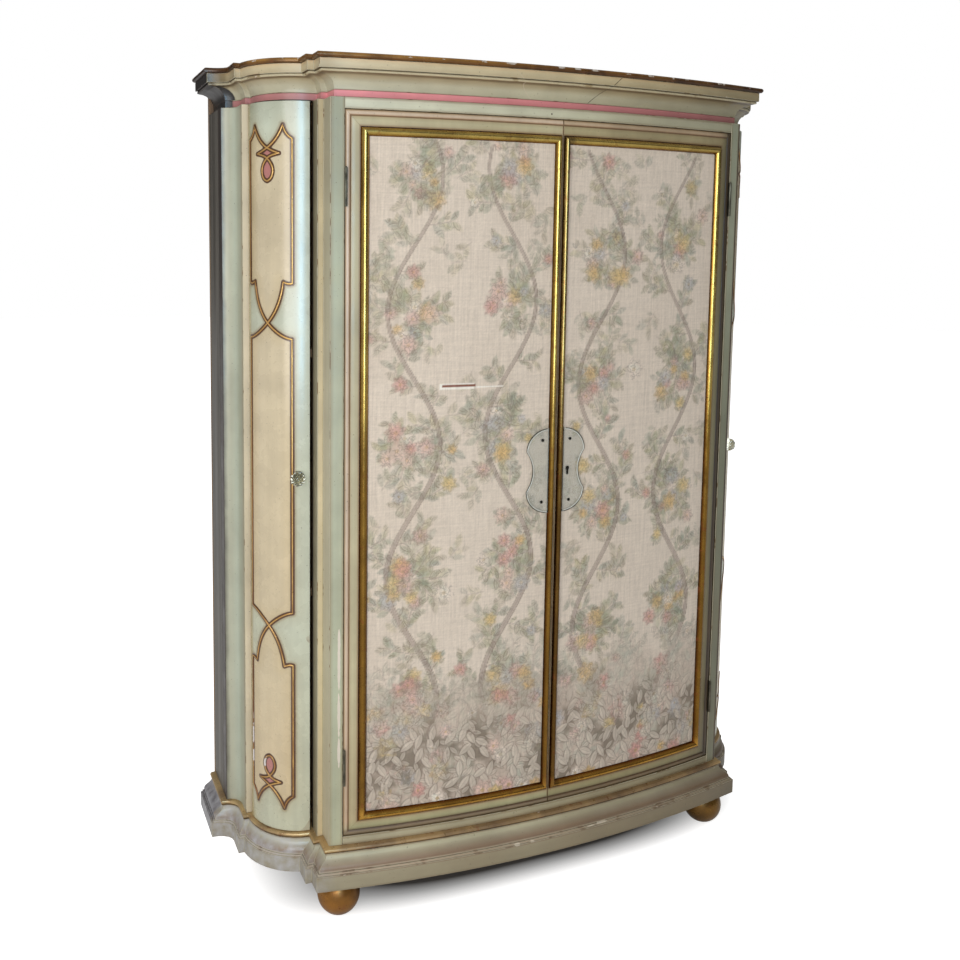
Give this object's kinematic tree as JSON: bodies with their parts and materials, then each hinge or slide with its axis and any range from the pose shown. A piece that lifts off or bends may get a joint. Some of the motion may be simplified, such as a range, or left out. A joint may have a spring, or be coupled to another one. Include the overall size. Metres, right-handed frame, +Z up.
{
  "type": "linen cabinet",
  "caption": "Bow-front painted linen cabinet with hinged cloth-panelled front doors, curved corner doors, inner shelves, moulded plinth and cornice, gilt trim and ball feet.",
  "frame": {"origin": "on the floor under the middle of the whole cabinet", "axes": "+Z up, front towards -Y, +X to the right when facing the front"},
  "size_m": [1.419, 0.4824, 1.8],
  "materials": {
    "sage_paint": "satin sage paint on wood",
    "pink_paint": "satin pink paint on wood",
    "dark_stain": "dark stain",
    "inside_wood": "plain wood",
    "gilding": "worn gilding on wood",
    "printed_linen": "printed slubby linen",
    "clear_acrylic": "clear polished plastic",
    "clear_glass": "clear glass",
    "brass": "dull brass",
    "dark_iron": "dark iron"
  },
  "bodies": {
    "carcass": {"back_panel": "inside_wood", "bottom_board": "inside_wood", "cornice_gilt_edge": "gilding", "cornice_moulding": "sage_paint", "end_panel_left": "dark_stain", "end_panel_right": "dark_stain", "foot_front_left": "gilding", "foot_front_right": "gilding", "foot_rear_left": "gilding", "foot_rear_right": "gilding", "frieze_band": "pink_paint", "front_bottom_rail": "sage_paint", "front_top_rail": "sage_paint", "left_corner_pin_lower": "brass", "left_corner_pin_upper": "brass", "left_corner_shelf_1": "inside_wood", "left_corner_shelf_2": "inside_wood", "left_lower_hinge_post_leaf": "dark_iron", "left_upper_hinge_post_leaf": "dark_iron", "middle_shelf_1": "inside_wood", "middle_shelf_2": "inside_wood", "middle_shelf_3": "inside_wood", "partition_left": "inside_wood", "partition_right": "inside_wood", "pilaster_left": "sage_paint", "pilaster_right": "sage_paint", "plinth_gilt_bead": "gilding", "plinth_moulding": "sage_paint", "rear_post_left": "sage_paint", "rear_post_right": "sage_paint", "right_corner_pin_lower": "brass", "right_corner_pin_upper": "brass", "right_corner_shelf_1": "inside_wood", "right_corner_shelf_2": "inside_wood", "right_lower_hinge_post_leaf": "dark_iron", "right_upper_hinge_post_leaf": "dark_iron", "top_board": "inside_wood"},
    "left_door": {"left_door_frame": "sage_paint", "left_door_panel": "inside_wood", "left_door_linen": "printed_linen", "left_door_gilt_frame": "gilding", "left_push_plate": "clear_acrylic", "left_lower_hinge_door_leaf": "dark_iron", "left_upper_hinge_door_leaf": "dark_iron", "lock_keeper": "brass", "left_bolt_guide": "brass"},
    "right_door": {"right_door_frame": "sage_paint", "right_door_panel": "inside_wood", "right_door_linen": "printed_linen", "right_door_gilt_frame": "gilding", "right_push_plate": "clear_acrylic", "right_lower_hinge_door_leaf": "dark_iron", "right_upper_hinge_door_leaf": "dark_iron", "lock_case": "brass"},
    "lock_bolt": {"lock_bolt": "brass"},
    "left_bolt": {"left_door_bolt": "brass"},
    "left_corner_door": {"left_corner_door": "sage_paint", "left_knob": "clear_glass"},
    "right_corner_door": {"right_corner_door": "sage_paint", "right_knob": "clear_glass"}
  },
  "joints": [
    {"name": "left_door_hinge", "type": "hinge", "parent": "carcass", "child": "left_door", "pos_m": [-0.475, -0.16822, 0.93], "axis": [0, 0, -1], "range_deg": [0, 110]},
    {"name": "right_door_hinge", "type": "hinge", "parent": "carcass", "child": "right_door", "pos_m": [0.475, -0.16822, 0.93], "axis": [0, 0, 1], "range_deg": [0, 110]},
    {"name": "left_corner_door_pivot", "type": "hinge", "parent": "carcass", "child": "left_corner_door", "pos_m": [-0.61502, 0.00625, 0.93], "axis": [0, 0, -1], "range_deg": [0, 95]},
    {"name": "right_corner_door_pivot", "type": "hinge", "parent": "carcass", "child": "right_corner_door", "pos_m": [0.61502, 0.00625, 0.93], "axis": [0, 0, 1], "range_deg": [0, 95]},
    {"name": "lock_bolt_slide", "type": "slide", "parent": "right_door", "child": "lock_bolt", "axis": [-1, 0, 0], "range_m": [0, 0.014]},
    {"name": "left_bolt_slide", "type": "slide", "parent": "left_door", "child": "left_bolt", "axis": [0, 0, 1], "range_m": [0, 0.014]}
  ]
}
